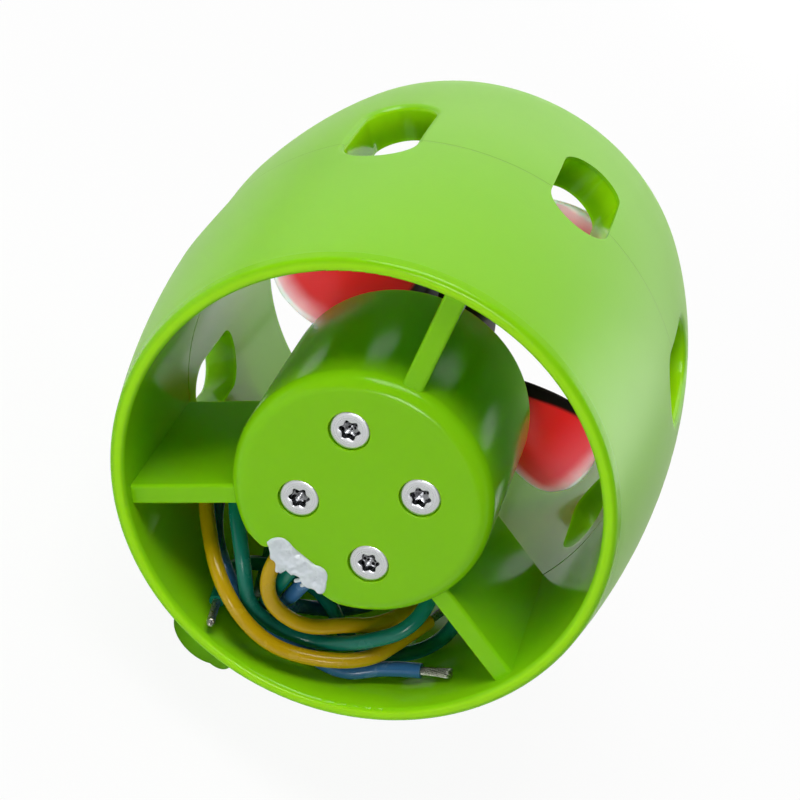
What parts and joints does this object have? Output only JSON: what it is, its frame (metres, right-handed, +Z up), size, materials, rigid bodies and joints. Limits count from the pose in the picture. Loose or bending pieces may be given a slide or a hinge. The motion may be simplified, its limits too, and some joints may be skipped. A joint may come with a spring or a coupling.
{
  "type": "underwater thruster",
  "caption": "Ducted underwater thruster with a motor pod on webs, a slotted nozzle, a bladed propeller, threaded mounting bosses and bare motor leads.",
  "frame": {"origin": "midway between the two mounting bosses, on their mounting faces", "axes": "+Y along the thrust axis from the inlet rim to the outlet, +Z up from the mounting faces to the duct, +X completes the right-handed frame"},
  "size_m": [0.0734, 0.0705, 0.0827],
  "materials": {
    "shell": "satin moulded",
    "insert": "turned and knurled",
    "stainless": "bright turned",
    "motor_aluminium": "turned",
    "bush": "turned polymer",
    "lamination": "stamped and coated",
    "winding": "enamelled copper wire",
    "sealant": "smeared by hand",
    "lead_yellow": "satin silicone",
    "lead_green": "satin silicone",
    "lead_blue": "satin silicone",
    "tinned_core": "tinned copper strands",
    "bell": "dark coated steel",
    "magnet": "nickel plated",
    "propeller": "moulded"
  },
  "bodies": {
    "duct": {"front_shell": "shell", "rear_shell": "shell", "mounting_bosses": "shell", "foot_inserts": "insert", "motor_screws": "stainless", "motor_base": "motor_aluminium", "shaft_bushes": "bush", "stator_core": "lamination", "stator_windings": "winding", "lead_sealant": "sealant", "lead_yellow": "lead_yellow", "lead_green": "lead_green", "lead_blue": "lead_blue", "tip_yellow": "tinned_core", "tip_green": "tinned_core", "tip_blue": "tinned_core"},
    "rotor": {"rotor_bell": "bell", "rotor_magnets": "magnet", "motor_shaft": "stainless", "shaft_circlip": "stainless", "prop_adapter": "motor_aluminium", "adapter_screws": "stainless", "propeller": "propeller", "prop_washer": "stainless", "prop_nut": "stainless"}
  },
  "joints": [
    {"name": "propeller_spin", "type": "hinge", "parent": "duct", "child": "rotor", "pos_m": [0, -0.0383, 0.046], "axis": [0, 1, 0], "continuous": true}
  ]
}
